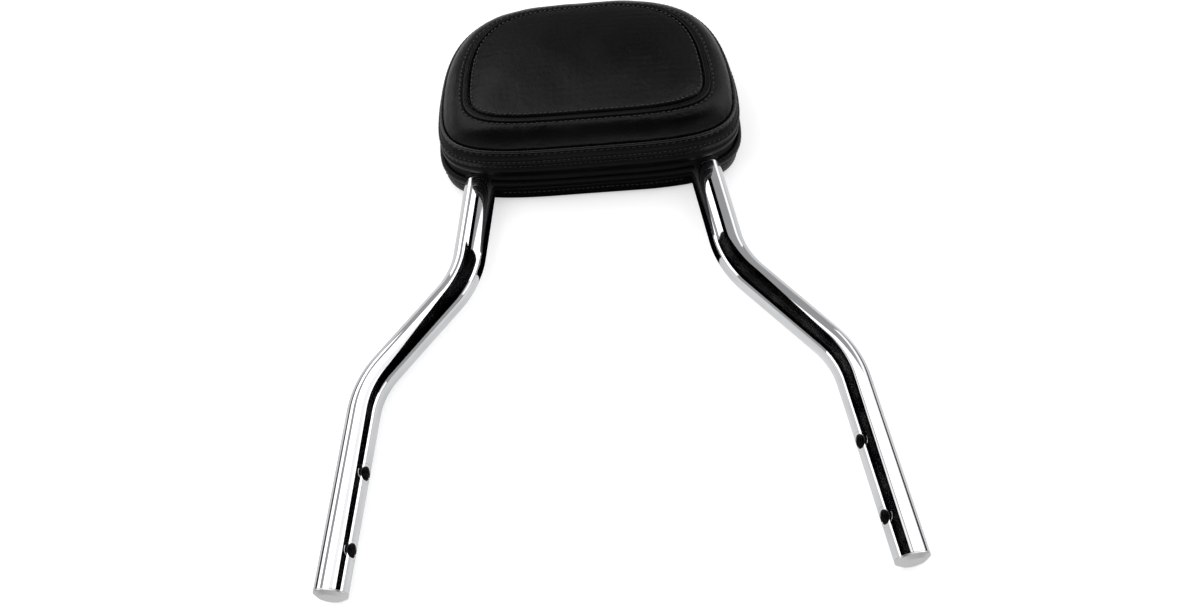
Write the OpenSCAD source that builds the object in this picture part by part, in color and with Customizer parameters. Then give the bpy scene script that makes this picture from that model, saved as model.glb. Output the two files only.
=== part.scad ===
// Motorcycle backrest: a bent chrome tube with an upholstered pad on its hoop.
// It lies face up, as on a bench: the legs point along -Y and the pad is at +Y.

/* [Bar] */
// Outer diameter of the bar tube
tube_d = 22.2; // [19:0.1:26]
// Wall thickness of the bar tube
tube_wall = 2.2; // [1.6:0.1:3]
// Distance between the leg axes at their lower ends
leg_spread = 352; // [330:1:380]
// Length of each lower leg, from its end to its upper bend
leg_len = 138; // [130:1:170]
// Angle by which each leg opens outward
leg_splay = 8.7; // [4:0.1:12]
// Sideways run of the slanted stretch between the two bends
slant_x = 66; // [55:1:75]
// Lengthwise run of the slanted stretch between the two bends
slant_y = 74; // [68:1:95]
// Height by which the hoop lies above the legs
hoop_rise = 5; // [3:0.5:9]
// Length of the straight hoop sides, up to the crossbar
hoop_len = 176; // [165:1:182]
// Bend radius of the leg bends, on the tube axis
bend_r = 60; // [50:1:66]
// Bend radius of the two hoop corners, on the tube axis
hoop_r = 42; // [34:1:48]
// Distance from a corner bend down to the butt joint between leg and hoop
joint_gap = 10; // [4:1:24]

/* [Leg ends and threaded bushings] */
// Thickness of the cap head on each leg end
cap_t = 3.4; // [2:0.1:5]
// Length of the plug that the cap pushes into the tube
plug_len = 12; // [8:0.5:16]
// Width of the bevel round the cap head
cap_bevel = 2.4; // [1:0.1:4]
// Distance from the leg end to the lower threaded bushing
bushing_end = 26.6; // [24:0.1:40]
// Distance between the two threaded bushings of a leg
bushing_pitch = 50.8; // [40:0.1:60]
// Outer diameter of a threaded bushing
bushing_d = 13; // [12:0.1:14]
// Depth of a threaded bushing, measured from the tube's surface
bushing_depth = 14; // [12.5:0.5:17]
// Bore of a threaded bushing, at the thread's crests
thread_bore = 8; // [6:0.1:9]
// Countersink of a threaded bushing, across its mouth
mouth_d = 10; // [9.2:0.1:11.5]
// Angle by which the bushings turn from the inner side toward the face
bushing_turn = 24.5; // [0:0.5:40]

/* [Pad] */
// Width of the pad at its widest
pad_w = 210; // [196:1:240]
// Height of the pad, from its lower to its upper edge
pad_h = 134; // [124:1:150]
// Distance from the lower edge of the pad to its widest line
pad_low = 50; // [44:1:60]
// Distance from the axis of the crossbar to the upper edge of the pad
pad_over = 27.6; // [26:0.1:36]
// Thickness of the leather
leather_t = 1.8; // [1.2:0.1:2.6]
// Thickness of the leather sleeve where the bar enters the pad
sleeve_t = 1.6; // [1:0.1:2.4]
// Height of leather left between a sleeve and the rim of the rear cover
rear_lip = 1.6; // [1:0.1:5]
// Height of the boxing band between the rear cover and the face
band_h = 21; // [17:0.5:28]
// Height of the sloping shell round the face
shell_h = 13.5; // [11:0.5:20]
// Width of the sloping shell round the face
shell_w = 15; // [11:0.5:18]
// Width of the flat strip between the shell and the face panel
strip_w = 4.5; // [3:0.5:7]
// Height of the crown of the face panel above the flat strip
crown = 7; // [4:0.5:12]
// Diameter of the piping
piping_d = 3.6; // [2.8:0.1:4.6]

/* [Pad fixing] */
// Thickness of the steel mounting plate
plate_t = 3; // [2:0.5:4]
// Reach of the mounting plate beyond the tube axis, at each side
plate_lap = 4; // [3:0.5:7]
// Height of the mounting plate
plate_h = 56; // [44:1:64]
// Distance from the lower edge of the pad to the mounting plate
plate_gap = 28; // [20:1:34]
// Thickness of the backing board
board_t = 6; // [5:0.5:8]
// Sideways distance between the pad screws
screw_x = 84; // [60:1:90]
// Lengthwise distance between the pad screws
screw_y = 34; // [26:1:40]
// Diameter of the pad screws
screw_d = 6; // [5:0.5:6.5]

/* [Hidden] */

$fn = 64;
chrome = [0.82, 0.83, 0.85];
leather = [0.07, 0.07, 0.075];
steel = [0.55, 0.55, 0.57];
tube_r = tube_d / 2;
seat = 0.3;         // clearance between a soft piece and its neighbour
fit = 0.1;          // clearance of a plug or a bushing in its hole, on the radius
touch = 0.02;       // clearance between flat faces that rest on each other
over = 2;           // how far a cutting body runs past what it cuts
run_in = 1;         // how far a straight tube runs into a bend
bend_extra = 0.2;   // extra diameter of a bend, where the tube has swelled

// Axis points of the right half of the bar, from the leg end to the hoop corner
end_y = -leg_len * cos(leg_splay);
hoop_z = tube_r + hoop_rise;
leg_end = [leg_spread / 2, end_y, tube_r];
knee = [leg_end.x - leg_len * sin(leg_splay), 0, tube_r];
hip = [knee.x - slant_x, slant_y, hoop_z];
corner = [hip.x - hoop_len * sin(leg_splay), hip.y + hoop_len * cos(leg_splay), hoop_z];
function mirrored(p) = [-p.x, p.y, p.z];
function unit(v) = v / norm(v);
function turn_at(a, b, c) = acos(unit(b - a) * unit(c - b));
function trim_at(a, b, c, r) = r * tan(turn_at(a, b, c) / 2);

// The leg and the hoop meet in a butt joint on each hoop side, inside the pad
joint = corner - (trim_at(hip, corner, mirrored(corner), hoop_r) + joint_gap) * unit(corner - hip);
hoop_start = joint + touch * unit(corner - hip);
leg_path = [leg_end, knee, hip, joint];
leg_radii = [0, bend_r, bend_r, 0];
hoop_path = [hoop_start, corner, mirrored(corner), mirrored(hoop_start)];
hoop_radii = [0, hoop_r, hoop_r, 0];

// Pad outline: its widest line and its reach below and above it
pad_edge = corner.y + pad_over - pad_h;
pad_y = pad_edge + pad_low;
pad_high = pad_h - pad_low;
low_power = 4.2;    // squareness of the lower corners
high_power = 2.5;   // squareness of the upper corners
lean = 0.055;       // shift toward the upper edge for each unit of height
high_lean = 0.095;  // how much of the reach above it the outline loses for each unit of height
low_share = 0.87;   // share of an inset that the lower edge takes
high_share = 0.77;  // share of an inset that the upper edge takes
around = 48;        // points round the outline

// Heights of the seams above the bench, and insets from the pad's outline
hole_r = tube_r + sleeve_t + 2 * seat;
hole_reach = 25;    // how far a bar hole runs to each side of the pad's lower edge
rear_h = hoop_z + hole_r + rear_lip;
band_z = rear_h + seat;
band_top = band_z + band_h;
piping_r = piping_d / 2;
piping_z = band_top + seat + piping_r;
shell_z = piping_z + piping_r + seat;
strip_z = shell_z + shell_h;
strip_drop = 0.4;   // depth of the flat strip below the shell and the panel
piping_in = 4.5;
shell_in = piping_in + 0.5;
strip_in = shell_in + shell_w;
panel_in = strip_in + strip_w;

// Outer lines of the sewn panels: [inset, height] pairs going up
rear_mid = rear_h * 0.45;
rear_line = [[6, 0], [2, 2], [0.4, rear_h * 0.25], [0, rear_mid], [1, rear_h * 0.8], [3, rear_h]];
band_line = [[2.6, band_z], [0.8, band_z + 3], [0.5, band_z + band_h * 0.5], [2, band_top - 3],
             [piping_in - 0.4, band_top]];
binding_low = rear_h * 0.55;
binding_high = rear_h * 0.78;
binding_line = [[-seat, binding_low], [-seat - 1, binding_low + 1], [-seat - 0.7, binding_high - 1],
                [0.6 - seat, binding_high]];
shell_line = [for (k = [0:4]) let (s = k / 4)
    [shell_in + shell_w * (0.35 * s + 0.65 * (1 - cos(90 * s))),
     shell_z + shell_h * (0.25 * s + 0.75 * sin(90 * s))]];

// Pieces that fix the pad to the hoop
plate_z = hoop_z + tube_r + touch;
plate_y = pad_edge + plate_gap;
board_z = plate_z + plate_t + touch;
board_top = board_z + board_t;
board_in = 8;       // inset of the board from the pad's outline
sleeve_start = 1;   // where a sleeve starts, past the pad's lower edge
sleeve_end = 16;
washer_d = 2.2 * screw_d;
washer_t = 1.2;
washer_z = plate_z - touch - washer_t;
head_d = 1.8 * screw_d;
head_h = 0.55 * screw_d;
head_z = washer_z - touch - head_h;
nut_d = 1.35 * screw_d;
nut_flange_d = 3 * screw_d;
nut_flange_t = 1.2;
nut_top = board_top + touch + nut_flange_t;

// The origin lies midway between the lowest edge of the caps and the pad's upper edge
face_r = tube_r - cap_bevel;
low_edge = end_y - cap_t * cos(leg_splay) - face_r * sin(leg_splay);
high_edge = pad_y + pad_high
    + max([for (p = concat(band_line, binding_line)) (lean - high_lean) * p[1] - high_share * p[0]]);
centre_y = (low_edge + high_edge) / 2;

// A round bar from a to b
module straight(a, b, d) {
    v = b - a;
    translate(a) rotate([0, acos(v.z / norm(v)), atan2(v.y, v.x)]) cylinder(d = d, h = norm(v));
}

// A round bend at b, on the way from a to c
module bend(a, b, c, r, d) {
    ahead = unit(b - a);
    after = unit(c - b);
    toward = unit(after - (after * ahead) * ahead);
    side = cross(-toward, ahead);
    mid = b - trim_at(a, b, c, r) * ahead + r * toward;
    multmatrix([[-toward.x, ahead.x, side.x, mid.x],
                [-toward.y, ahead.y, side.y, mid.y],
                [-toward.z, ahead.z, side.z, mid.z],
                [0, 0, 0, 1]])
        rotate_extrude(angle = turn_at(a, b, c), $fn = 96) translate([r, 0]) circle(d = d);
}

// A round bar along a path, with a bend at each inner point, longer by extra at both ends.
// A bend is a little thicker than the straights, which run a short way into it.
module bent_bar(path, radii, d, extra = 0) {
    last = len(path) - 1;
    trims = [for (i = [0:last]) i == 0 || i == last ? -extra
        : trim_at(path[i - 1], path[i], path[i + 1], radii[i]) - run_in];
    for (i = [0:last - 1]) {
        way = unit(path[i + 1] - path[i]);
        straight(path[i] + trims[i] * way, path[i + 1] - trims[i + 1] * way, d);
    }
    for (i = [1:last - 1]) bend(path[i - 1], path[i], path[i + 1], radii[i], d + bend_extra);
}

module about_origin() { translate([0, -centre_y, 0]) children(); }

// Places its children on a leg of the given side: z along the leg from its end
module on_leg(side) {
    mirror([side < 0 ? 1 : 0, 0, 0])
        translate(leg_end) rotate([0, 0, leg_splay]) rotate([-90, 0, 0]) children();
}

// Places its children on a hoop side: z along its axis, with z = 0 at the pad's lower edge
module on_hoop(side) {
    mirror([side < 0 ? 1 : 0, 0, 0])
        translate([hip.x - (pad_edge - hip.y) * tan(leg_splay), pad_edge, hoop_z])
            rotate([0, 0, leg_splay]) rotate([-90, 0, 0]) children();
}

// Places its children at a bushing: z points out of the bore, with z = 0 on the tube axis
module at_bushing(side, upper) {
    on_leg(side) translate([0, 0, bushing_end + (upper ? bushing_pitch : 0)])
        rotate([0, 0, bushing_turn]) rotate([0, -90, 0]) children();
}

module at_screws() {
    for (x = [-0.5, 0.5] * screw_x, y = [-0.5, 0.5] * screw_y)
        translate([x, plate_y + plate_h / 2 + y, 0]) children();
}

// A hollow bar along a path
module bent_tube(path, radii) {
    difference() {
        bent_bar(path, radii, tube_d);
        bent_bar(path, radii, tube_d - 2 * tube_wall, over);
    }
}

// The leg and the hoop side of one side of the bar
module leg_bar(side) {
    color(chrome) about_origin() difference() {
        mirror([side < 0 ? 1 : 0, 0, 0]) bent_tube(leg_path, leg_radii);
        for (upper = [false, true])
            at_bushing(side, upper) cylinder(d = bushing_d + 2 * fit, h = tube_d);
    }
}

// The two corners of the hoop and the crossbar between them
module hoop_bar() { color(chrome) about_origin() bent_tube(hoop_path, hoop_radii); }

// A plug with a bevelled head of the tube's own diameter
module end_cap(side) {
    plug_r = tube_r - tube_wall - fit;
    color([0.62, 0.62, 0.63]) about_origin() on_leg(side) rotate_extrude()
        polygon([[0, -cap_t], [face_r, -cap_t], [tube_r, -cap_t + cap_bevel * 0.9], [tube_r, -touch],
                 [plug_r, -touch], [plug_r, plug_len], [0, plug_len]]);
}

// A threaded bushing, flush with the tube's surface
module bushing(side, upper) {
    sink = (mouth_d - thread_bore) / 2;
    color([0.35, 0.35, 0.37]) about_origin() difference() {
        intersection() {
            at_bushing(side, upper) translate([0, 0, tube_r - bushing_depth])
                cylinder(d = bushing_d, h = bushing_depth + over);
            on_leg(side) cylinder(d = tube_d, h = bushing_end + bushing_pitch + bushing_d);
        }
        at_bushing(side, upper) {
            translate([0, 0, -tube_r]) cylinder(d = thread_bore, h = 2 * tube_d);
            translate([0, 0, tube_r - sink])
                cylinder(d1 = thread_bore, d2 = thread_bore + 2 * (sink + over), h = sink + over);
        }
    }
}

// Outline of the pad at a height z, drawn in by an inset and scaled about its middle
function pad_ring(inset, z, share = 1) = [for (i = [0:around - 1])
    let (t = 360 * i / around, c = cos(t), s = sin(t), power = s < 0 ? low_power : high_power,
         reach = s < 0 ? pad_low - low_share * inset : pad_high - high_share * inset - high_lean * z,
         mid = pad_y + lean * z + (pad_high - pad_low) / 2,
         x = (pad_w / 2 - inset) * sign(c) * pow(abs(c), 2 / power),
         y = pad_y + lean * z + reach * sign(s) * pow(abs(s), 2 / power))
    [share * x, mid + share * (y - mid), z]];

function all_points(line) = [for (p = line) each pad_ring(p[0], p[1], len(p) > 2 ? p[2] : 1)];
function ring_faces(k, next) = [for (i = [0:around - 1]) let (j = (i + 1) % around)
    each [[k * around + i, next * around + i, next * around + j],
          [k * around + i, next * around + j, k * around + j]]];

// A band swept round the pad: a closed loop of [inset, height] pairs, up its outer side first
module swept_band(loop) {
    n = len(loop);
    polyhedron(points = all_points(loop), faces = [for (k = [0:n - 1]) each ring_faces(k, (k + 1) % n)]);
}

// A body swept under the pad's outline, with a flat face on its first and on its last ring
module swept_body(line) {
    n = len(line);
    polyhedron(points = all_points(line),
               faces = concat([for (k = [0:n - 2]) each ring_faces(k, k + 1)],
                              [[for (i = [0:around - 1]) i]],
                              [[for (i = [around - 1:-1:0]) (n - 1) * around + i]]));
}

function reversed(line) = [for (k = [len(line) - 1:-1:0]) line[k]];

// The line that lies a depth t inside an outer line
function inside(line, t) = let (last = len(line) - 1) [for (k = [0:last])
    let (a = line[max(k - 1, 0)], b = line[min(k + 1, last)], way = unit([b[0] - a[0], b[1] - a[1]]))
    [line[k][0] + t * way[1], line[k][1] - t * way[0]]];
function skin(line) = concat(line, reversed(inside(line, leather_t)));

// Rings of the crowned face, from its rim to its middle, a depth t below its surface
function crown_rings(t) = [for (share = [1, 0.94, 0.84, 0.68, 0.44, 0.16])
    [panel_in + seat, strip_z - t + crown * pow(1 - share * share, 0.7), share]];

// The two holes that the bar passes through
module bar_holes() {
    for (side = [-1, 1]) on_hoop(side) translate([0, 0, -hole_reach]) cylinder(r = hole_r, h = 2 * hole_reach);
}

module rear_cover() {
    inner = [[6 + leather_t, leather_t], [2 + leather_t, leather_t + 2],
             [leather_t, rear_mid], [3 + leather_t, rear_h]];
    color(leather) about_origin() difference() {
        swept_body(concat(rear_line, reversed(inner)));
        bar_holes();
    }
}

// A sewn strip round the rear cover, open where the bar passes
module rear_binding() {
    color(leather) about_origin() difference() {
        swept_band(concat(binding_line, [[0.8 - seat, binding_high], [-seat / 2, binding_low]]));
        bar_holes();
    }
}

// The leather collar that closes the rear cover round the bar
module tube_sleeve(side) {
    r = tube_r + seat;
    color(leather) about_origin() on_hoop(side) rotate_extrude()
        polygon([[r, sleeve_start], [r + sleeve_t * 0.7, sleeve_start], [r + sleeve_t, sleeve_start + 1],
                 [r + sleeve_t, sleeve_end], [r, sleeve_end]]);
}

module boxing_band() { color(leather) about_origin() swept_band(skin(band_line)); }

module face_piping() {
    color(leather) about_origin() swept_band([for (t = [0:45:315])
        [piping_in - piping_r * sin(t), piping_z - piping_r * cos(t)]]);
}

module face_shell() { color(leather) about_origin() swept_band(skin(shell_line)); }

// The flat strip between the two rows of stitches
module seam_strip() {
    low_in = strip_in + leather_t / 2 + seat;
    top = strip_z - strip_drop;
    color(leather) about_origin() swept_band([[low_in, top - leather_t], [low_in, top],
        [panel_in, top], [panel_in, top - leather_t]]);
}

module face_panel() {
    color(leather) about_origin() swept_body(concat(reversed(crown_rings(leather_t)), crown_rings(0)));
}

module foam_core() {
    deep = leather_t + seat;
    color([0.75, 0.72, 0.55]) about_origin() difference() {
        swept_body(concat([[5, board_top + touch], [0.5 + deep, board_top + 4], [2.6 + deep, band_top - 2],
                           [piping_in + piping_r + seat + 1, piping_z]],
                          inside(shell_line, deep),
                          [[strip_in + deep, strip_z - strip_drop - deep]],
                          crown_rings(deep + strip_drop)));
        at_screws() translate([0, 0, board_top]) cylinder(d = nut_flange_d + 2 * seat,
            h = nut_flange_t + seat);
        at_screws() translate([0, 0, board_top]) cylinder(d = screw_d + 2 * seat, h = nut_flange_t + 5);
    }
}

// The stiff board that carries the foam, cut to the pad's outline
module backing_board() {
    color([0.55, 0.42, 0.28]) about_origin() difference() {
        translate([0, 0, board_z]) linear_extrude(board_t)
            polygon([for (p = pad_ring(board_in, board_z)) [p.x, p.y]]);
        at_screws() translate([0, 0, board_z - over]) cylinder(d = nut_d + 2 * fit, h = board_t + 2 * over);
    }
}

// The steel plate welded across the hoop sides
module mounting_plate() {
    low_x = hip.x - (plate_y - hip.y) * tan(leg_splay) + plate_lap;
    high_x = low_x - plate_h * tan(leg_splay);
    color(steel) about_origin() difference() {
        translate([0, plate_y, plate_z]) linear_extrude(plate_t)
            polygon([[-low_x, 0], [low_x, 0], [high_x, plate_h], [-high_x, plate_h]]);
        at_screws() translate([0, 0, plate_z - over])
            cylinder(d = screw_d + 2 * seat, h = plate_t + 2 * over);
    }
}

module pad_screws() {
    color(steel) about_origin() at_screws() {
        translate([0, 0, head_z]) cylinder(d1 = head_d * 0.7, d2 = head_d, h = head_h);
        translate([0, 0, head_z + head_h]) cylinder(d = screw_d, h = nut_top + 2 - head_z - head_h);
    }
}

module screw_washers() {
    color(steel) about_origin() at_screws() translate([0, 0, washer_z]) difference() {
        cylinder(d = washer_d, h = washer_t);
        translate([0, 0, -over]) cylinder(d = screw_d + 2 * seat, h = washer_t + 2 * over);
    }
}

// Tee nuts: the barrel sits in the board and the flange on its foam side
module tee_nuts() {
    color(steel) about_origin() at_screws() difference() {
        union() {
            translate([0, 0, board_z + 1]) cylinder(d = nut_d, h = board_t + touch);
            translate([0, 0, board_top + touch]) cylinder(d = nut_flange_d, h = nut_flange_t);
        }
        translate([0, 0, board_z - over]) cylinder(d = screw_d + 2 * fit, h = board_t + 3 * over);
    }
}

leg_bar(-1);  // left_bar
leg_bar(1);  // right_bar
hoop_bar();
end_cap(-1);  // left_end_cap
end_cap(1);  // right_end_cap
bushing(-1, true);  // left_upper_bushing
bushing(-1, false);  // left_lower_bushing
bushing(1, true);  // right_upper_bushing
bushing(1, false);  // right_lower_bushing
mounting_plate();
backing_board();
pad_screws();
screw_washers();
tee_nuts();
foam_core();
rear_cover();
rear_binding();
tube_sleeve(-1);  // left_tube_sleeve
tube_sleeve(1);  // right_tube_sleeve
boxing_band();
face_piping();
face_shell();
seam_strip();
face_panel();
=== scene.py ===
import math
import bmesh
import bpy
import numpy as np
from mathutils import Matrix, Vector, noise
from mathutils.bvhtree import BVHTree


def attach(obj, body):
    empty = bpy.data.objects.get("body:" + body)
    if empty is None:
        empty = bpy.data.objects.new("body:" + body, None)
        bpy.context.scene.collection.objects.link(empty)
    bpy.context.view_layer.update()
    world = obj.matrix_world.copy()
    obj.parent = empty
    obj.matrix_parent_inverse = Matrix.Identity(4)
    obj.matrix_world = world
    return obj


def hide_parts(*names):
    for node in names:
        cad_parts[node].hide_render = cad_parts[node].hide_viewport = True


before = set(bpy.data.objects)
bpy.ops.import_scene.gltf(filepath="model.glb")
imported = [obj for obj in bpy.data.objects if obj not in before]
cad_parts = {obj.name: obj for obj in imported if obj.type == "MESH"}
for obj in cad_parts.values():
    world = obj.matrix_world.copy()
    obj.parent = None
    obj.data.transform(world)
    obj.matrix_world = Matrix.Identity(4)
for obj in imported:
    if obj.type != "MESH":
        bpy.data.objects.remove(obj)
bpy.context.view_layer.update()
scene = bpy.context.scene
MM = 0.001

# Sizes in millimetres, as in the part's source. An "_in" is an inset from the pad's widest outline,
# a "_z" a height over the floor, and a "_share" the part of an inset that is felt lengthwise.
tube_r = 11.1
tube_wall = 2.2
leg_spread = 352
leg_len = 138
splay = math.radians(8.7)
slant_x = 66
slant_y = 74
hoop_rise = 5
hoop_len = 176
bend_r = 60
hoop_r = 42
cap_t = 3.4
plug_len = 12
cap_bevel = 2.4
bushing_end = 26.6
bushing_pitch = 50.8
bushing_r = 6.5
bushing_depth = 14
bore_r = 4.0
mouth_r = 5.0
bushing_turn = math.radians(24.5)
pad_half = 105
pad_low = 50
pad_high = 84
pad_over = 27.6
low_power = 4.2
lean = 0.055
high_lean = 0.095
low_share = 0.87
high_share = 0.77
rear_h = 31.0
band_z = 31.3
band_top = 52.3
piping_in = 4.5
piping_z = 54.4
shell_in = 5.0
shell_z = 56.5
shell_w = 15
shell_h = 13.5
strip_in = 20.0
strip_z = 70.0
panel_in = 24.5
crown = 7

# Sizes that the scene alone has: the piping's cord as far as it shows, and the panel's crown before it
# is stuffed
cord_r = 1.35
slack_crown = 4.6

# The bar's axis, from the right leg's end to the left one, with the knees on y = 0
end_y = -leg_len * math.cos(splay)
hoop_z = tube_r + hoop_rise
leg_end = np.array([leg_spread / 2, end_y, tube_r])
knee = np.array([leg_end[0] - leg_len * math.sin(splay), 0, tube_r])
hip = np.array([knee[0] - slant_x, slant_y, hoop_z])
corner = np.array([hip[0] - hoop_len * math.sin(splay), hip[1] + hoop_len * math.cos(splay), hoop_z])
pad_y = corner[1] + pad_over - pad_high
mirror_x = np.array([-1, 1, 1])

# The origin lies midway between the caps' lowest edge and the pad's upper edge
low_edge = end_y - cap_t * math.cos(splay) - (tube_r - cap_bevel) * math.sin(splay)
binding_peak = (-1.3, 0.55 * rear_h + 1)    # inset and height
high_edge = pad_y + pad_high + (lean - high_lean) * binding_peak[1] - high_share * binding_peak[0]
centre_y = (low_edge + high_edge) / 2


def to_frame(points):
    """Millimetres with the knees on y = 0, to metres in the model's frame."""
    return (np.asarray(points, float) - [0, centre_y, 0]) * MM


def full_turn(count):
    """Angles at even steps round a circle."""
    return np.linspace(0, 2 * math.pi, count, endpoint=False)


def run_along(points):
    """The distance along a line of points from its first one to each."""
    return np.concatenate([[0], np.cumsum(np.linalg.norm(np.diff(points, axis=0), axis=1))])


def ring_quads(first, second, around):
    """The faces between two rings, given by their numbers."""
    return [(first * around + i, first * around + (i + 1) % around,
             second * around + (i + 1) % around, second * around + i) for i in range(around)]


def ring_faces(count, around, closed=False, capped=(False, False)):
    """All faces of a skin of rings. closed joins the last ring to the first, capped fills an end ring."""
    faces = []
    for k in range(count if closed else count - 1):
        faces += ring_quads(k, (k + 1) % count, around)
    if capped[0]:
        faces.append(tuple(range(around - 1, -1, -1)))
    if capped[1]:
        faces.append(tuple(range((count - 1) * around, count * around)))
    return faces


def new_piece(name, points, faces, material):
    """An object with a mesh of its own, from points in millimetres. Its faces are turned outward."""
    mesh = bpy.data.meshes.new(name)
    mesh.from_pydata([tuple(p) for p in to_frame(points)], [], faces)
    shape = bmesh.new()
    shape.from_mesh(mesh)
    bmesh.ops.recalc_face_normals(shape, faces=shape.faces)
    shape.to_mesh(mesh)
    shape.free()
    mesh.polygons.foreach_set("use_smooth", [True] * len(mesh.polygons))
    mesh.materials.append(material)
    mesh.update()
    piece = bpy.data.objects.new(name, mesh)
    scene.collection.objects.link(piece)
    return piece


# Materials

def node_material(name, colour, roughness, metallic=0.0, specular=0.5):
    """A material and its shader node, to which patterns are then linked."""
    material = bpy.data.materials.new(name)
    material.use_nodes = True
    shader = material.node_tree.nodes["Principled BSDF"]
    shader.inputs["Base Color"].default_value = (*colour, 1)
    shader.inputs["Roughness"].default_value = roughness
    shader.inputs["Metallic"].default_value = metallic
    shader.inputs["Specular IOR Level"].default_value = specular
    return material, shader


def add_node(material, kind, **inputs):
    node = material.node_tree.nodes.new(kind)
    for name, value in inputs.items():
        node.inputs[name.replace("_", " ")].default_value = value
    return node


def link(material, source, target):
    material.node_tree.links.new(source, target)


def object_noise(material, scale, detail=4.0, roughness=0.5):
    """A noise pattern that stays with the object, with about scale features in a metre."""
    place = add_node(material, "ShaderNodeTexCoord")
    pattern = add_node(material, "ShaderNodeTexNoise", Scale=scale, Detail=detail, Roughness=roughness)
    link(material, place.outputs["Object"], pattern.inputs["Vector"])
    return pattern.outputs["Fac"]


def ramp(material, source, low, high, start=0.35, end=0.65):
    """Maps a pattern to a range of greys, or of colours."""
    node = material.node_tree.nodes.new("ShaderNodeValToRGB")
    for element, place, value in zip(node.color_ramp.elements, (start, end), (low, high)):
        element.position = place
        element.color = (value, value, value, 1) if np.isscalar(value) else (*value, 1)
    link(material, source, node.inputs["Fac"])
    return node.outputs["Color"]


def add_bump(material, shader, heights):
    """heights is a list of (pattern, strength, distance in metres)."""
    normal = None
    for pattern, strength, distance in heights:
        node = add_node(material, "ShaderNodeBump", Strength=strength, Distance=distance)
        link(material, pattern, node.inputs["Height"])
        if normal:
            link(material, normal, node.inputs["Normal"])
        normal = node.outputs["Normal"]
    link(material, normal, shader.inputs["Normal"])


def leather_material(name, base, specular, rough_low, rough_high):
    """Smooth black leather: small rounded grain cells, pores, wrinkles and slight changes of shade."""
    material, shader = node_material(name, base, rough_high, specular=specular)
    place = add_node(material, "ShaderNodeTexCoord")
    cells = add_node(material, "ShaderNodeTexVoronoi", Scale=950.0)
    cells.feature = "DISTANCE_TO_EDGE"
    link(material, place.outputs["Object"], cells.inputs["Vector"])
    grain = ramp(material, cells.outputs["Distance"], 0.0, 1.0, 0.0, 0.16)
    wrinkles = object_noise(material, 330.0, 3.0, 0.6)
    shade = object_noise(material, 22.0, 5.0)
    pores = object_noise(material, 2600.0, 2.0)
    link(material, ramp(material, shade, rough_low, rough_high), shader.inputs["Roughness"])
    darker = tuple(0.72 * c for c in base)
    lighter = tuple(1.25 * c for c in base)
    link(material, ramp(material, shade, darker, lighter, 0.3, 0.7), shader.inputs["Base Color"])
    add_bump(material, shader, [(grain, 0.35, 0.0001), (pores, 0.3, 0.00006), (wrinkles, 0.45, 0.0005),
                                (shade, 0.3, 0.001)])
    return material


leather = leather_material("leather_black", (0.0018, 0.0018, 0.0021), 0.22, 0.23, 0.33)
band_leather = leather_material("leather_band", (0.0022, 0.0022, 0.0024), 0.16, 0.32, 0.44)
piping_leather = leather_material("leather_piping", (0.0022, 0.0022, 0.0024), 0.60, 0.20, 0.28)


def metal_material(name, colour, roughness, spread, scale, bump=0.0, distance=0.00002):
    """A metal whose roughness and shade vary by a noise of that scale, which bump also raises."""
    material, shader = node_material(name, colour, roughness, metallic=1.0)
    pattern = object_noise(material, scale, 5.0)
    sheen = ramp(material, pattern, roughness - spread, roughness + spread)
    link(material, sheen, shader.inputs["Roughness"])
    tint = tuple(0.93 * c for c in colour)
    link(material, ramp(material, pattern, tint, colour, 0.3, 0.7), shader.inputs["Base Color"])
    if bump:
        add_bump(material, shader, [(pattern, bump, distance)])
    return material


chrome = metal_material("chrome", (0.90, 0.905, 0.915), 0.05, 0.02, 60.0)
cap_metal = metal_material("cap_metal", (0.80, 0.795, 0.785), 0.36, 0.08, 900.0, 0.35, 0.00006)
# Nearly black steel for the inserts' bores: painted shade, standing in for the shade deep in the holes,
# darker than the steel's own colour.
bushing_steel_painted_shade = metal_material("bushing_steel_painted_shade", (0.045, 0.042, 0.040), 0.42, 0.08, 1200.0, 0.2)
bare_steel = metal_material("bare_steel", (0.50, 0.50, 0.51), 0.36, 0.08, 700.0, 0.2)


def thread_material():
    """Black thread with a fibrous surface."""
    material, shader = node_material("thread_black", (0.012, 0.012, 0.0125), 0.32, specular=0.7)
    fibres = object_noise(material, 4200.0, 3.0)
    link(material, ramp(material, fibres, 0.30, 0.52), shader.inputs["Roughness"])
    link(material, ramp(material, fibres, (0.006, 0.006, 0.0065), (0.017, 0.017, 0.018)),
         shader.inputs["Base Color"])
    add_bump(material, shader, [(fibres, 0.5, 0.0001)])
    return material


thread = thread_material()


def board_material():
    """Pale plywood, banded by its rings."""
    material, shader = node_material("board_wood", (0.50, 0.36, 0.21), 0.62)
    place = add_node(material, "ShaderNodeTexCoord")
    rings = add_node(material, "ShaderNodeTexWave", Scale=36.0, Distortion=5.0, Detail=3.0)
    link(material, place.outputs["Object"], rings.inputs["Vector"])
    link(material, ramp(material, rings.outputs["Fac"], (0.36, 0.24, 0.13), (0.58, 0.43, 0.26), 0.2, 0.8),
         shader.inputs["Base Color"])
    add_bump(material, shader, [(rings.outputs["Fac"], 0.2, 0.0002)])
    return material


def foam_material():
    """Yellowish foam, pitted by its open cells."""
    material, shader = node_material("foam_open", (0.70, 0.65, 0.46), 0.95, specular=0.2)
    cells = object_noise(material, 1400.0, 3.0)
    shade = ramp(material, cells, (0.50, 0.45, 0.30), (0.78, 0.73, 0.54))
    link(material, shade, shader.inputs["Base Color"])
    add_bump(material, shader, [(cells, 0.8, 0.0004)])
    return material


board_wood = board_material()
foam = foam_material()


# The chrome bar

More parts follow.
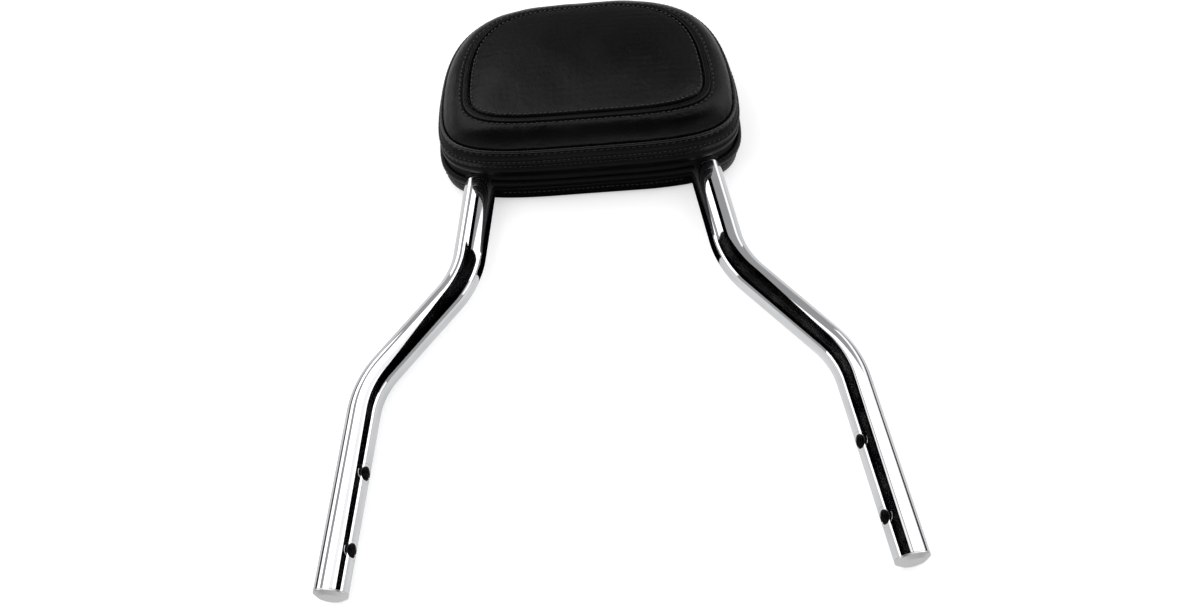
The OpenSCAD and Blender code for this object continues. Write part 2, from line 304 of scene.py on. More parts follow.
class Path:
    """A round bar's axis: straight runs with a circular bend at each inner point."""

    def __init__(self, points, radii):
        self.bends = []
        starts = [points[0]]
        ends = []
        for before, here, after, radius in zip(points, points[1:], points[2:], radii[1:]):
            ahead = (here - before) / np.linalg.norm(here - before)
            away = (after - here) / np.linalg.norm(after - here)
            angle = math.acos(float(ahead @ away))
            trim = radius * math.tan(angle / 2)
            toward = away - (away @ ahead) * ahead
            toward /= np.linalg.norm(toward)
            ends.append(here - trim * ahead)
            starts.append(here + trim * away)
            self.bends.append((here - trim * ahead + radius * toward, ahead, toward, radius, angle))
        ends.append(points[-1])
        self.runs = list(zip(starts, ends))

    def samples(self, run_step=6.0, bend_step=math.radians(1.6)):
        """Axis points and directions along the whole bar."""
        places = []
        ways = []
        for i, (start, end) in enumerate(self.runs):
            length = np.linalg.norm(end - start)
            way = (end - start) / length
            for s in np.linspace(0, 1, max(2, round(length / run_step))):
                places.append(start + s * (end - start))
                ways.append(way)
            if i < len(self.bends):
                middle, ahead, toward, radius, angle = self.bends[i]
                for a in np.linspace(0, angle, max(3, round(angle / bend_step)))[1:-1]:
                    places.append(middle + radius * (math.sin(a) * ahead - math.cos(a) * toward))
                    ways.append(math.cos(a) * ahead + math.sin(a) * toward)
        return np.array(places), np.array(ways)

    def nearest(self, points):
        """The nearest axis point to each given point."""
        best = np.full(len(points), np.inf)
        found = np.zeros((len(points), 3))
        for start, end in self.runs:
            way = end - start
            s = np.clip((points - start) @ way / (way @ way), -0.1, 1.1)
            place = start + s[:, None] * way
            far = np.linalg.norm(points - place, axis=1) + 5 * ((s < 0) | (s > 1))
            closer = far < best
            best[closer] = far[closer]
            found[closer] = place[closer]
        for middle, ahead, toward, radius, angle in self.bends:
            x = (points - middle) @ ahead
            y = -(points - middle) @ toward
            a = np.arctan2(x, y)
            place = middle + radius * (np.sin(a)[:, None] * ahead - np.cos(a)[:, None] * toward)
            inside = (a > 0) & (a < angle)
            far = np.where(inside, np.linalg.norm(points - place, axis=1), np.inf)
            closer = far < best
            best[closer] = far[closer]
            found[closer] = place[closer]
        return found


half_bar = [leg_end, knee, hip, corner]
bar = Path(half_bar + [point * mirror_x for point in reversed(half_bar)],
           [0, bend_r, bend_r, hoop_r, hoop_r, bend_r, bend_r])


def swept_tube(places, ways, radius, around):
    """Rings of points round an axis, whose sides turn with it without twist."""
    side = np.cross(ways[0], [0, 0, 1.0])
    rings = []
    turns = full_turn(around)
    for place, way in zip(places, ways):
        side = side - (side @ way) * way
        side /= np.linalg.norm(side)
        up = np.cross(way, side)
        rings.append(place + radius * (np.outer(np.cos(turns), side) + np.outer(np.sin(turns), up)))
    return np.concatenate(rings)


def leg_frame(side):
    """Origin and axes of a leg: along it from its end, inward across it, and up."""
    origin = leg_end * (side, 1, 1)
    along = np.array([-side * math.sin(splay), math.cos(splay), 0])
    inward = np.array([-side * math.cos(splay), -math.sin(splay), 0])
    return origin, along, inward, np.array([0, 0, 1.0])


def bushing_frame(side, upper):
    """Origin and axes of a threaded bushing: its bore points inward and a little up."""
    origin, along, inward, up = leg_frame(side)
    axis = math.cos(bushing_turn) * inward + math.sin(bushing_turn) * up
    across = math.cos(bushing_turn) * up - math.sin(bushing_turn) * inward
    return origin + along * (bushing_end + (bushing_pitch if upper else 0)), along, across, axis


SIDES = ((1, "right"), (-1, "left"))
PLACES = ((True, "upper"), (False, "lower"))
AROUND_TUBE = 96
AROUND_BORE = 64
CUTTER_LENGTH = 16


def make_bar():
    """The whole bent tube as one piece, with four holes for the threaded inserts."""
    places, ways = bar.samples()
    outer = swept_tube(places, ways, tube_r, AROUND_TUBE)
    inner = swept_tube(places, ways, tube_r - tube_wall, AROUND_TUBE)
    count = len(places)
    faces = []
    for k in range(count - 1):
        faces += ring_quads(k, k + 1, AROUND_TUBE)
        faces += [tuple(reversed(face)) for face in ring_quads(count + k, count + k + 1, AROUND_TUBE)]
    faces += ring_quads(count, 0, AROUND_TUBE)
    faces += ring_quads(count - 1, 2 * count - 1, AROUND_TUBE)
    piece = new_piece("chrome_bar", np.concatenate([outer, inner]), faces, chrome)
    cutters = []
    for side, side_name in SIDES:
        for upper, place_name in PLACES:
            origin, along, across, axis = bushing_frame(side, upper)
            profile = [(bushing_r + 0.02, 0), (bushing_r + 0.02, CUTTER_LENGTH)]
            cutter = revolved(f"cutter_{side_name}_{place_name}", profile, origin, axis, along, across,
                              chrome, AROUND_BORE)
            cutters.append(cutter)
            cut = piece.modifiers.new("bore", "BOOLEAN")
            cut.operation = "DIFFERENCE"
            cut.solver = "EXACT"
            cut.object = cutter
    evaluated = piece.evaluated_get(bpy.context.evaluated_depsgraph_get())
    mesh = bpy.data.meshes.new_from_object(evaluated)
    piece.modifiers.clear()
    piece.data = mesh
    for cutter in cutters:
        bpy.data.objects.remove(cutter)
    round_normals(mesh)
    return piece


def round_normals(mesh):
    """Gives the tube's surface the exact normals of a round bar, so that its reflections run clean."""
    count = len(mesh.vertices)
    points = np.zeros(count * 3)
    mesh.vertices.foreach_get("co", points)
    points = points.reshape(-1, 3) / MM + [0, centre_y, 0]
    away = points - bar.nearest(points)
    far = np.linalg.norm(away, axis=1)
    away /= far[:, None]
    normals = np.zeros((len(mesh.loops), 3))
    for face in mesh.polygons:
        flat = np.array(face.normal)
        for loop in face.loop_indices:
            v = mesh.loops[loop].vertex_index
            lies_on = abs(flat @ away[v]) > 0.9
            normals[loop] = away[v] * np.sign(flat @ away[v]) if lies_on else flat
    mesh.normals_split_custom_set([tuple(n) for n in normals])


def revolved(name, profile, origin, axis, side_a, side_b, material, around=AROUND_TUBE):
    """A lathe piece: profile is a list of (radius, height) pairs, closed at both ends."""
    turns = full_turn(around)
    ring = np.outer(np.cos(turns), side_a) + np.outer(np.sin(turns), side_b)
    points = np.concatenate([origin + r * ring + h * axis for r, h in profile])
    return new_piece(name, points, ring_faces(len(profile), around, capped=(True, True)), material)


def rounded(corners, radius=0.3, steps=4):
    """A profile with each inner corner rounded off, and a point beside it that keeps the flats flat."""
    line = [corners[0]]
    for before, here, after in zip(corners, corners[1:], corners[2:]):
        before, here, after = (np.array(p, float) for p in (before, here, after))
        back = (before - here) / np.linalg.norm(before - here)
        forth = (after - here) / np.linalg.norm(after - here)
        line.append(tuple(here + 1.3 * radius * back))
        for s in np.linspace(0, 1, steps):
            line.append(tuple(here + radius * ((1 - s) ** 2 * back + s ** 2 * forth)))
        line.append(tuple(here + 1.3 * radius * forth))
    return line + [corners[-1]]


def make_cap(side, name):
    """An end cap with a bevelled face, on a plug that fills the tube's end."""
    origin, along, inward, up = leg_frame(side)
    face_r = tube_r - 1.4 * cap_bevel
    plug_r = tube_r - tube_wall - 0.1
    hair = 0.02    # keeps the ends' points apart at the axis, and the cap off the tube's end
    profile = rounded([(hair, -cap_t), (face_r, -cap_t), (tube_r, -cap_t + cap_bevel * 0.9),
                       (tube_r, -hair), (plug_r, -hair), (plug_r, plug_len), (hair, plug_len)], 0.2)
    return revolved(f"{name}_cap", profile, origin, along, inward, up, cap_metal)


def make_bushing(side, upper, name):
    """A threaded insert whose outer end follows the tube, with a real thread in its bore."""
    origin, along, across, axis = bushing_frame(side, upper)
    pitch = 25.4 / 16
    depth = 0.62
    turns = full_turn(AROUND_BORE)
    cos, sin = np.cos(turns), np.sin(turns)
    low = tube_r - bushing_depth
    rings = []

    def ring(radius, height):
        rings.append(np.column_stack([radius * cos, radius * sin, height * np.ones(AROUND_BORE)]))

    def on_tube(radius):
        """Heights at which the tube's surface lies above a circle of that radius."""
        return np.sqrt(tube_r ** 2 - (radius * sin) ** 2)

    ring(bushing_r - 0.4, low)
    ring(bushing_r, low + 0.4)
    for share in np.linspace(0, 1, 5)[1:]:
        top = on_tube(bushing_r) - 0.25
        ring(bushing_r, (low + 0.4) * (1 - share) + top * share)
    ring(bushing_r - 0.2, on_tube(bushing_r - 0.2) - 0.03)
    ring(bushing_r - 0.6, on_tube(bushing_r - 0.6))
    ring(mouth_r + 0.1, on_tube(mouth_r + 0.1))
    ring(mouth_r - 0.35, on_tube(mouth_r) - 0.3)
    ring(bore_r + 0.3, tube_r - 1.15)
    top_of_thread = tube_r - 1.3
    for height in np.arange(top_of_thread, low + 0.5, -pitch / 10):
        phase = (height / pitch - turns / (2 * math.pi)) % 1
        groove = np.clip(1.25 - np.abs(phase - 0.5) * 3.2, 0, 1)
        fade = min(1, (height - low) / 1.2) * min(1, (top_of_thread - height) / 0.8 + 0.15)
        ring(bore_r + depth * groove * fade, height)
    ring(bore_r + 0.3, low)
    points = np.concatenate(rings)
    points = origin + points[:, :1] * along + points[:, 1:2] * across + points[:, 2:] * axis
    piece = new_piece(name, points, ring_faces(len(rings), AROUND_BORE, closed=True), bushing_steel_painted_shade)
    piece.data.materials.append(chrome)
    # The end that lies in the tube's surface is plated with it: from the fifth ring to the mouth
    for index in range(5 * AROUND_BORE, 9 * AROUND_BORE):
        piece.data.polygons[index].material_index = 1
    round_normals(piece.data)
    return piece


bar_piece = make_bar()
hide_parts("left_bar", "right_bar", "hoop_bar")
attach(bar_piece, "root")
for side, side_name in SIDES:
    cap = make_cap(side, side_name)
    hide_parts(f"{side_name}_end_cap")
    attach(cap, "root")
    for upper, place_name in PLACES:
        bushing = make_bushing(side, upper, f"{side_name}_{place_name}_insert")
        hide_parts(f"{side_name}_{place_name}_bushing")
        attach(bushing, "root")


# The pad's outline: two half superellipses that meet on the widest line

AROUND = 720
# The stretched leather differs from the plain solid: it is squarer above, narrows upward, draws in
# toward its lower edge and is rounded along the upper one
upper_power = 3.3
taper = 0.16
taper_ease = 0.04
settle = 0.035
high_round = 3.4


def outline(angles, inset, z, share=1.0):
    """Points of the pad's outline at a height z, seen from its centre at the given angles."""
    angles = np.asarray(angles, float)
    cos, sin = np.cos(angles), np.sin(angles)
    power = np.where(sin < 0, low_power, upper_power)
    half = pad_half - inset
    low_reach = pad_low - low_share * inset + settle * z
    rounding = high_round * inset * (panel_in - inset) / panel_in ** 2 * 4
    high_reach = pad_high - high_share * inset - high_lean * z - rounding
    reach = np.where(sin < 0, low_reach, high_reach)
    size = (np.abs(cos / half) ** power + np.abs(sin / reach) ** power) ** (-1 / power)
    middle = pad_y + lean * z + (pad_high - pad_low) / 2
    up = size * sin / pad_high
    x = size * cos * (1 - taper * (up + np.sqrt(up ** 2 + taper_ease)) / 2)
    y = pad_y + lean * z + size * sin
    return np.column_stack([share * x, middle + share * (y - middle), z * np.ones(len(angles))])


def even_angles(count, inset=0.0, z=30.0, offset=0.0, share=1.0):
    """Angles whose outline points lie at even distances along the outline, and its length."""
    dense = np.linspace(0, 2 * math.pi, 6000)
    run = run_along(outline(dense, inset, z, share))
    places = (np.arange(count) + offset) / count * run[-1]
    return np.interp(places % run[-1], run, dense), run[-1]


ANGLES, PERIMETER = even_angles(AROUND)


def noise_at(points, size, seed):
    """Smooth noise in -1..1 at points in millimetres, with features of about that size."""
    shift = Vector((seed * 17.3, seed * 5.1, seed * 9.7))
    return np.array([noise.noise(Vector(p) / size + shift) for p in points])


def loft(name, rings, material, closed=False, capped=(False, False), relief=None):
    """A skin through rings of (inset, height) or (inset, height, share) round the pad. relief moves
    the points, which come as one row for each ring."""
    points = np.array([outline(ANGLES, *ring) for ring in rings])
    if relief is not None:
        points = relief(points)
    faces = ring_faces(len(rings), AROUND, closed, capped)
    return new_piece(name, points.reshape(-1, 3), faces, material)


def smooth_line(corners, count):
    """A rounded line through corner points, as count points at even distances."""
    corners = np.array(corners, float)
    dense = []
    last = len(corners) - 1
    for i in range(last):
        p0, p1, p2, p3 = (corners[min(max(k, 0), last)] for k in (i - 1, i, i + 1, i + 2))
        for s in np.linspace(0, 1, 24, endpoint=False):
            dense.append(0.5 * (2 * p1 + (p2 - p0) * s + (2 * p0 - 5 * p1 + 4 * p2 - p3) * s ** 2
                                + (3 * p1 - p0 - 3 * p2 + p3) * s ** 3))
    dense.append(corners[-1])
    dense = np.array(dense)
    run = run_along(dense)
    places = np.linspace(0, run[-1], count)
    return np.column_stack([np.interp(places, run, dense[:, k]) for k in (0, 1)])


def with_back(line, thickness):
    """Closes an outer line with an inner one, a thickness inside it."""
    line = np.asarray(line)
    way = np.gradient(line, axis=0)
    way /= np.linalg.norm(way, axis=1)[:, None]
    back = line + thickness * np.column_stack([way[:, 1], -way[:, 0]])
    return [tuple(p) for p in line] + [tuple(p) for p in back[::-2]]


STITCH = 3.4    # from one stitch to the next
SHELL_STITCH = STITCH * 1.12
POSITION = np.arange(AROUND) / AROUND * PERIMETER
LEATHER_T = 1.8
REAR_LEATHER_T = 1.6


def puckers(distance, position, pitch, depth, width):
    """How far a seam draws the leather in: a furrow beside it, deepest at each stitch."""
    beat = 0.6 + 0.4 * np.cos(2 * math.pi * position / pitch)
    return -depth * beat * np.exp(-(distance / width) ** 2)


def dress(rows, heights):
    """Moves each row of points straight out along the skin by its own heights."""
    along = np.roll(rows, -1, axis=1) - np.roll(rows, 1, axis=1)
    up = np.gradient(rows, axis=0)
    normal = np.cross(along, up)
    normal /= np.linalg.norm(normal, axis=2)[:, :, None]
    return rows + normal * heights[:, :, None]


def shell_corners():
    """The shell's section: a lip under its edge, then a bulging bevel up to the seam strip."""
    corners = [(shell_in - 0.2, shell_z - 1.6)]
    for s in np.linspace(0, 1, 13):
        turn = math.pi / 2 * s
        corners.append((shell_in + shell_w * (0.35 * s + 0.65 * (1 - math.cos(turn))),
                        shell_z + shell_h * (0.25 * s + 0.75 * math.sin(turn))))
    return corners


def make_shell():
    """The bevelled leather shell, with small folds beside both of its seams."""
    line = smooth_line(shell_corners(), 40)
    run = run_along(line)
    total = run[-1]
    count = len(line)

    def relief(rows):
        outer = rows[:count]
        heights = np.zeros(outer.shape[:2])
        for k in range(count):
            low, high = run[k], total - run[k]
            wide = noise_at(outer[k], 26.0, 3) * 0.55 + noise_at(outer[k], 11.0, 4) * 0.22
            near_low = math.exp(-low / 5.0)
            near_high = math.exp(-high / 4.0)
            fold = noise_at(outer[k] * (1, 1, 0.25), 4.2, 5)
            heights[k] = wide * min(1, low / 5, high / 5) - 0.45
            # Folds that fan out from both seams, then the seams' own furrows
            heights[k] += 0.32 * fold * (near_low + near_high) * min(1, low / 1.2, high / 1.2)
            heights[k] -= 0.3 * math.exp(-(low / 2.4) ** 2) + 1.0 * math.exp(-(high / 0.8) ** 2)
            heights[k] += puckers(high - 1.5, POSITION, SHELL_STITCH, 0.35, 1.3)
            heights[k] += puckers(low, POSITION, STITCH, 0.25, 2.6)
        return np.concatenate([dress(outer, heights), rows[count:]])

    return loft("pad_shell", with_back(line, LEATHER_T), leather, closed=True, relief=relief)


def make_strip():
    """The raised strip between the shell and the face panel."""
    low_in = strip_in + 0.15
    high_in = panel_in - 0.1
    cross = [(low_in, strip_z - 2.6)]
    for s in np.linspace(0, 1, 13):
        cross.append((low_in + (high_in - low_in) * s, strip_z - 1.2 + 1.15 * (1 - abs(2 * s - 1) ** 6)))
    cross.append((high_in, strip_z - 2.6))

    def relief(rows):
        for k, (inset, z) in enumerate(cross):
            share = (inset - low_in) / (high_in - low_in)
            ripple = 0.16 * np.cos(2 * math.pi * POSITION / STITCH) * (1 - 2 * abs(share - 0.5)) ** 0.5
            rows[k, :, 2] += 0.12 * noise_at(rows[k], 9.0, 7) - 0.1 + 0.3 * ripple * (z > strip_z - 2)
        return rows

    return loft("pad_seam_strip", cross, leather, closed=True, relief=relief)


def crown_height(share, distance):
    """Height of the face panel above the strip's level, with its edge rolled down into the seam."""
    return slack_crown * (1 - share ** 2) ** 0.7 - 1.5 * math.exp(-(distance / 0.8) ** 1.6) - 0.15


GRID = 4.5
FRAMES = 20
RISE_LIMITS = (-2, 3.5)
SMOOTHING_PASSES = 6


def blown_heights(mesh, pinned):
    """Runs Cloth on a mesh under pressure, with some points pinned. Returns every point's height."""
    piece = bpy.data.objects.new("stuffing", mesh)
    scene.collection.objects.link(piece)
    seam = piece.vertex_groups.new(name="seam")
    seam.add([int(n) for n in np.flatnonzero(pinned)], 1.0, "REPLACE")
    cloth = piece.modifiers.new("cloth", "CLOTH")
    cloth.settings.quality = 8
    cloth.settings.mass = 0.2
    cloth.settings.tension_stiffness = cloth.settings.compression_stiffness = 30
    cloth.settings.bending_stiffness = 2
    cloth.settings.shrink_min = -0.005
    cloth.settings.vertex_group_mass = "seam"
    cloth.settings.use_pressure = True
    cloth.settings.uniform_pressure_force = 4
    cloth.settings.effector_weights.gravity = 0
    cloth.point_cache.frame_end = FRAMES
    for k in range(1, FRAMES + 1):
        scene.frame_set(k)
    blown = piece.evaluated_get(bpy.context.evaluated_depsgraph_get()).data
    heights = np.array([v.co.z for v in blown.vertices])
    bpy.data.objects.remove(piece)
    scene.frame_set(1)
    return heights


def smoothed(values):
    """A grid's values, each drawn toward its four neighbours several times over."""
    for _ in range(SMOOTHING_PASSES):
        wide = np.pad(values, 1)
        near = wide[:-2, 1:-1] + wide[2:, 1:-1] + wide[1:-1, :-2] + wide[1:-1, 2:]
        values = 0.5 * values + 0.125 * near
    return values


def stuffed_rise():
    """Fills the face panel with Cloth: a grid over it is pinned along the seam and blown up, with a
    little slack. Returns the grid's lines and the height that each of its points gained."""
    xs = np.arange(-pad_half, pad_half, GRID)
    ys = np.arange(pad_y - pad_low, pad_y + pad_high, GRID)
    rim = outline(ANGLES, panel_in, strip_z)
    middle = pad_y + lean * strip_z + (pad_high - pad_low) / 2
    turn = np.arctan2(rim[:, 1] - middle, rim[:, 0])
    order = np.argsort(turn)
    reach = np.hypot(rim[:, 0], rim[:, 1] - middle)
    x, y = np.meshgrid(xs, ys)
    share = np.hypot(x, y - middle) / np.interp(np.arctan2(y - middle, x), turn[order], reach[order],
                                                period=2 * math.pi)
    height = strip_z + slack_crown * np.clip(1 - share ** 2, 0, 1) ** 0.7
    inside = share < 0.985
    number = np.cumsum(inside).reshape(inside.shape) - 1
    whole = inside[:-1, :-1] & inside[1:, :-1] & inside[:-1, 1:] & inside[1:, 1:]
    faces = [(number[i, j], number[i, j + 1], number[i + 1, j + 1], number[i + 1, j])
             for i, j in np.argwhere(whole)]
    faces_at = np.zeros(int(inside.sum()), int)
    for face in faces:
        faces_at[list(face)] += 1
    mesh = bpy.data.meshes.new("stuffing")
    start = to_frame(np.column_stack([x[inside], y[inside], height[inside]]))
    mesh.from_pydata([tuple(p) for p in start], [], [tuple(int(n) for n in face) for face in faces])
    heights = blown_heights(mesh, faces_at < 4)
    rise = np.zeros(x.shape)
    rise[inside] = np.clip(heights / MM - start[:, 2] / MM, *RISE_LIMITS)
    return xs, ys, smoothed(rise)


def read_grid(xs, ys, values, points):
    """A grid's values at the given points, smoothly between its lines."""
    column = np.clip((points[:, 0] - xs[0]) / GRID, 0, len(xs) - 1.001)
    row = np.clip((points[:, 1] - ys[0]) / GRID, 0, len(ys) - 1.001)
    i, j = row.astype(int), column.astype(int)
    down, along = row - i, column - j
    down, along = down * down * (3 - 2 * down), along * along * (3 - 2 * along)
    return ((1 - down) * ((1 - along) * values[i, j] + along * values[i, j + 1])
            + down * ((1 - along) * values[i + 1, j] + along * values[i + 1, j + 1]))


PANEL_REACH = 55    # from the panel's seam to its middle, on average


def make_panel():
    """The crowned face panel, with small folds and puckers along its seam."""
    xs, ys, rise = stuffed_rise()
    shares = 1 - np.linspace(0, 0.985, 46) ** 1.7
    rim = panel_in + 0.15
    rings = [(rim + 0.4, strip_z - 2.4, 0.999)]
    for share in shares:
        rings.append((rim, strip_z + crown_height(share, (1 - share) * PANEL_REACH), share))

    def relief(rows):
        for k, (*_, share) in enumerate(rings):
            distance = (1 - share) * PANEL_REACH    # from the seam
            calm = min(1, distance / 8)
            rows[k, :, 2] += min(1, distance / 5) * read_grid(xs, ys, rise, rows[k])
            rows[k, :, 2] += calm * (0.5 * noise_at(rows[k], 48.0, 11) + 0.12 * noise_at(rows[k], 15.0, 12))
            # Small folds beside the seam, then its puckers
            near = math.exp(-distance / 5.5) * min(1, distance / 0.8)
            rows[k, :, 2] += 0.26 * near * noise_at(rows[k], 3.8, 13)
            rows[k, :, 2] += puckers(distance - 1.7, POSITION, STITCH, 0.35, 1.3)
        return rows

    return loft("pad_face_panel", rings, leather, capped=(True, True), relief=relief)


def uneven_cord(rows, grow, share):
    """A cord's rows, swollen about its middle line by grow, and drawn in by share."""
    middle = rows.mean(axis=0)
    return middle + (rows - middle) * grow[None, :, None] * share


def make_piping():
    """The corded piping under the shell's edge."""
    rings = [(piping_in - cord_r * math.sin(t), piping_z - cord_r * math.cos(t)) for t in full_turn(16)]

    def relief(rows):
        beat = 0.07 * np.cos(2 * math.pi * POSITION / STITCH)
        grow = 1 + beat + 0.05 * noise_at(rows.mean(axis=0), 12.0, 21)
        return uneven_cord(rows, grow, 0.98)

    return loft("pad_piping", rings, piping_leather, closed=True, relief=relief)


def uneven_band(points, rise, seed):
    """Slow waves along a band, and shorter ones that lie flatter."""
    return rise * noise_at(points, 34.0, seed) + 0.10 * noise_at(points * (1, 1, 0.6), 12.0, seed + 1)


def rib(z, middle, half_width):
    """The section of a flat-topped rib, 1 at its middle."""
    return math.exp(-((z - middle) / half_width) ** 4)


BOX_SEAMS = (42.2, 46.8)


def make_boxing():
    """The boxing band, with two seams, a rib between them, a groove and a rib below."""
    line = smooth_line([(2.8, band_z), (1.2, band_z + 1.2), (0.7, band_z + 4), (0.5, band_z + 10),
                        (1.0, band_z + 15), (2.2, band_top - 2.5), (piping_in - 0.4, band_top)], 56)
    count = len(line)

    def relief(rows):
        outer = rows[:count]
        heights = np.zeros(outer.shape[:2])
        for k in range(count):
            z = line[k][1]
            wide = uneven_band(outer[k], 0.40, 31)
            heights[k] = wide * min(1, (z - band_z) / 3, (band_top - z) / 3) - 0.35
            for seam in BOX_SEAMS:
                heights[k] += puckers(z - seam, POSITION, STITCH, 0.55, 1.0)
            heights[k] += 0.5 * rib(z, 44.5, 1.9)
            heights[k] += 0.55 * rib(z, 35.0, 2.6)
            heights[k] -= 0.9 * math.exp(-((z - 39.2) / 0.8) ** 2)
        return np.concatenate([dress(outer, heights), rows[count:]])

    return loft("pad_boxing", with_back(line, LEATHER_T), band_leather, closed=True, relief=relief)


REAR_SEAMS = (12.0, 17.6)


def make_rear_cover():
    """The rear cover, from its floor up to the boxing band, with two seams and a rib between them."""
    corners = [(30, 0.0), (12, 0.0), (6.5, 0.1), (3.0, 1.3), (0.9, 4.5), (0.3, 9), (0.1, 14), (0.6, 20),
               (2.2, 24.5), (3.2, 27.5), (3.0, rear_h)]
    line = smooth_line(corners, 90)
    count = len(line)

    def relief(rows):
        outer = rows[:count]
        heights = np.zeros(outer.shape[:2])
        for k in range(count):
            inset, z = line[k]
            wide = uneven_band(outer[k], 0.45, 41)
            heights[k] = wide * min(1, z / 6, (rear_h - z) / 3) - 0.2 * (inset < 6)
            for seam in REAR_SEAMS:
                heights[k] += puckers(z - seam, POSITION, STITCH, 0.5, 0.9) * (inset < 5)
            heights[k] += 0.5 * rib(z, 14.8, 2.0) * (inset < 5)
        moved = dress(outer, heights)
        moved[:, :, 2] = np.maximum(moved[:, :, 2], 0.0)
        return np.concatenate([moved, rows[count:]])

    rings = with_back(line, REAR_LEATHER_T)
    return loft("pad_rear_cover", rings, band_leather, capped=(True, True), relief=relief)


def make_binding():
    """The binding strip that runs round the rear cover."""
    low, high = 17.6, 24.0
    cross = [(0.3, low), (-0.9, low + 0.5), (-1.3, low + 1.6), (-1.25, low + 3.2), (-1.0, high - 1.4),
             (-0.2, high - 0.4), (0.9, high), (1.9, high - 0.4), (1.6, low + 0.6)]

    def relief(rows):
        beat = 0.04 * np.cos(2 * math.pi * POSITION / STITCH)
        return uneven_cord(rows, 1 + 0.06 * noise_at(rows.mean(axis=0), 14.0, 51) + beat, 0.97)

    return loft("pad_rear_binding", cross, band_leather, closed=True, relief=relief)


def passage(side):
    """Start and direction of the bar's straight run into the pad, on one side."""
    way = (corner - hip) * (side, 1, 1)
    return hip * (side, 1, 1), way / np.linalg.norm(way)


def make_sleeve(side, name):
    """The gathered leather collar where the bar enters the pad."""
    turns = full_turn(AROUND_TUBE)
    start, way = passage(side)
    across = np.cross(way, [0, 0, 1.0])
    up = np.cross(across, way)
    pad_edge = pad_y - pad_low
    start = start + way * (pad_edge - hip[1]) / way[1]
    # Thickness, and distance along the bar from the pad's edge
    profile = [(0.35, 7.5), (0.9, 7.3), (1.3, 7.9), (1.5, 9), (1.6, 11), (1.7, 13), (1.7, 15.7),
               (0.35, 15.9)]
    rings = []
    for thick, place in profile:
        depth = 0.24 * math.exp(-((place - 8) / 4) ** 2)
        folds = 1 + depth * np.sin(13 * turns + 2.1 * side + place * 0.25)
        radius = tube_r + 0.3 + (thick - 0.35) * folds
        rings.append(start + place * way + np.outer(radius * np.cos(turns), across)
                     + np.outer(radius * np.sin(turns), up))
    faces = ring_faces(len(profile), AROUND_TUBE, closed=True)
    return new_piece(f"{name}_sleeve", np.concatenate(rings), faces, band_leather)


# Stitches: short rounded lengths of thread, sunk at both ends

def make_stitches(name, spots, outs, length, thick, material):
    """One stitch at each spot, lying along the row. outs are the skin's normals there."""
    steps = 7
    sides = 8
    slant = 0.10
    points = []
    faces = []
    ways = np.roll(spots, -1, axis=0) - np.roll(spots, 1, axis=0)
    ways /= np.linalg.norm(ways, axis=1)[:, None]
    for spot, way, out in zip(spots, ways, outs):
        out = out - (out @ way) * way
        out /= np.linalg.norm(out)
        across = np.cross(out, way)
        slanted = way + slant * across
        base = len(points)
        for s in np.linspace(-1, 1, steps):
            radius = thick / 2 * math.sqrt(max(0.04, 1 - abs(s) ** 3))
            middle = spot + slanted * (s * length / 2) + out * (thick * (0.40 - 0.62 * s * s))
            for t in full_turn(sides):
                points.append(middle + radius * (math.cos(t) * across + math.sin(t) * out))
        for k in range(steps - 1):
            for j in range(sides):
                a, b = base + k * sides + j, base + k * sides + (j + 1) % sides
                faces.append((a, b, b + sides, a + sides))
        faces.append(tuple(base + j for j in range(sides - 1, -1, -1)))
        faces.append(tuple(base + (steps - 1) * sides + j for j in range(sides)))
    return new_piece(name, points, faces, material)


def on_skin(piece, spots):
    """The points of a piece's skin nearest to the spots, and the skin's normals there."""
    mesh = piece.data
    skin = BVHTree.FromPolygons([v.co for v in mesh.vertices], [p.vertices[:] for p in mesh.polygons])
    found = [skin.find_nearest(Vector(spot)) for spot in to_frame(spots)]
    places = np.array([place for place, *_ in found]) / MM + [0, centre_y, 0]
    return places, np.array([normal for _, normal, *_ in found])


def stitch_row(name, piece, inset, z, pitch=STITCH, length=2.5, thick=0.95, keep=None):
    """A row of stitches round the pad on a piece's skin, near an inset and a height."""
    _, length_round = even_angles(1, inset, z)
    angles, _ = even_angles(round(length_round / pitch), inset, z, 0.3)
    spots, outs = on_skin(piece, outline(angles, inset, z))
    if keep:
        chosen = keep(spots)
        spots, outs = spots[chosen], outs[chosen]
    return make_stitches(name, spots, outs, length, thick, thread)


def off_the_bar(spots):
    """True where a spot on the rear cover is clear of the bar's passages."""
    clear = np.ones(len(spots), bool)
    for side in (1, -1):
        start, way = passage(side)
        away = spots - start
        away = away - (away @ way)[:, None] * way
        clear &= (np.linalg.norm(away, axis=1) > tube_r + 3.6) | (spots[:, 1] > pad_y)
    return clear


